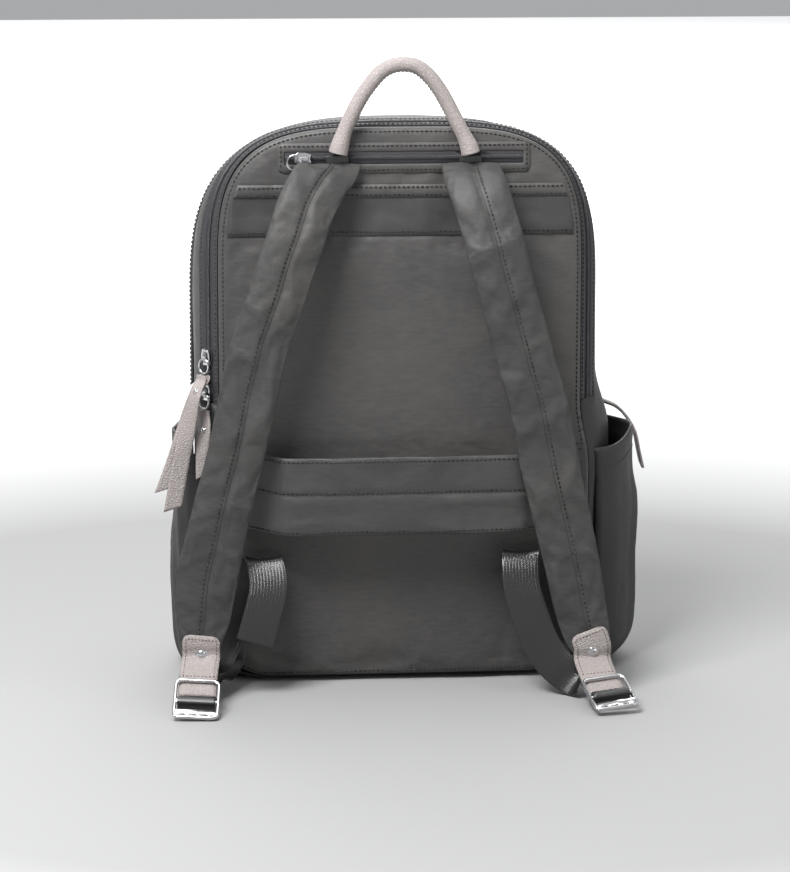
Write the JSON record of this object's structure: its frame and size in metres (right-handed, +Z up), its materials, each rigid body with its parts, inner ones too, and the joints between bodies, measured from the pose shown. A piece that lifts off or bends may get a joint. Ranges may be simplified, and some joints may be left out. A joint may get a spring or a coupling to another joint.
{
  "type": "anti theft backpack",
  "caption": "Soft laptop backpack that opens at its harness side, with padded shoulder straps, trolley sleeve, side pockets, rolled leather handle, leather tabs and metal buckles.",
  "frame": {"origin": "centre of the flat base, on the surface that the bag stands on", "axes": "+Z up, harness side towards -Y, +X to the right of a viewer who faces the harness side"},
  "size_m": [0.3446, 0.2483, 0.4274],
  "materials": {
    "shell_nylon": "woven nylon twill with a low sheen",
    "panel_nylon": "woven nylon over foam with a low sheen",
    "strap_nylon": "woven nylon over foam with a low sheen",
    "yoke_nylon": "smooth woven nylon",
    "zipper_tape": "ribbed zipper tape",
    "zipper_coil": "nylon coil teeth",
    "webbing": "ribbed webbing, slightly glossy",
    "leather": "grained leather, satin",
    "hardware": "polished metal"
  },
  "bodies": {
    "root": {"front_shell": "shell_nylon", "side_pocket_left": "shell_nylon", "side_pocket_right": "shell_nylon", "front_panel": "shell_nylon", "harness_panel": "panel_nylon", "trolley_sleeve": "panel_nylon", "strap_left": "strap_nylon", "strap_right": "strap_nylon", "yoke_band": "yoke_nylon", "pocket_welt": "yoke_nylon", "zip_tape_inner": "zipper_tape", "zip_tape_outer": "zipper_tape", "zip_coil": "zipper_coil", "pocket_coil": "zipper_coil", "rear_coil": "zipper_coil", "webbing_left": "webbing", "webbing_right": "webbing", "handle_loop_left": "webbing", "handle_loop_right": "webbing", "top_handle": "leather", "tab_left": "leather", "tab_right": "leather", "puller_upper_front": "leather", "puller_upper_back": "leather", "puller_lower_strip": "leather", "puller_rear": "leather", "buckle_left": "hardware", "buckle_right": "hardware", "tab_rivet_left": "hardware", "tab_rivet_right": "hardware", "slider_upper": "hardware", "slider_lower": "hardware", "slider_rear": "hardware", "pocket_slider": "hardware", "ring_upper": "hardware", "ring_lower": "hardware", "ring_rear": "hardware", "pocket_ring": "hardware", "puller_rivet_upper": "hardware", "puller_rivet_lower": "hardware"}
  },
  "joints": []
}
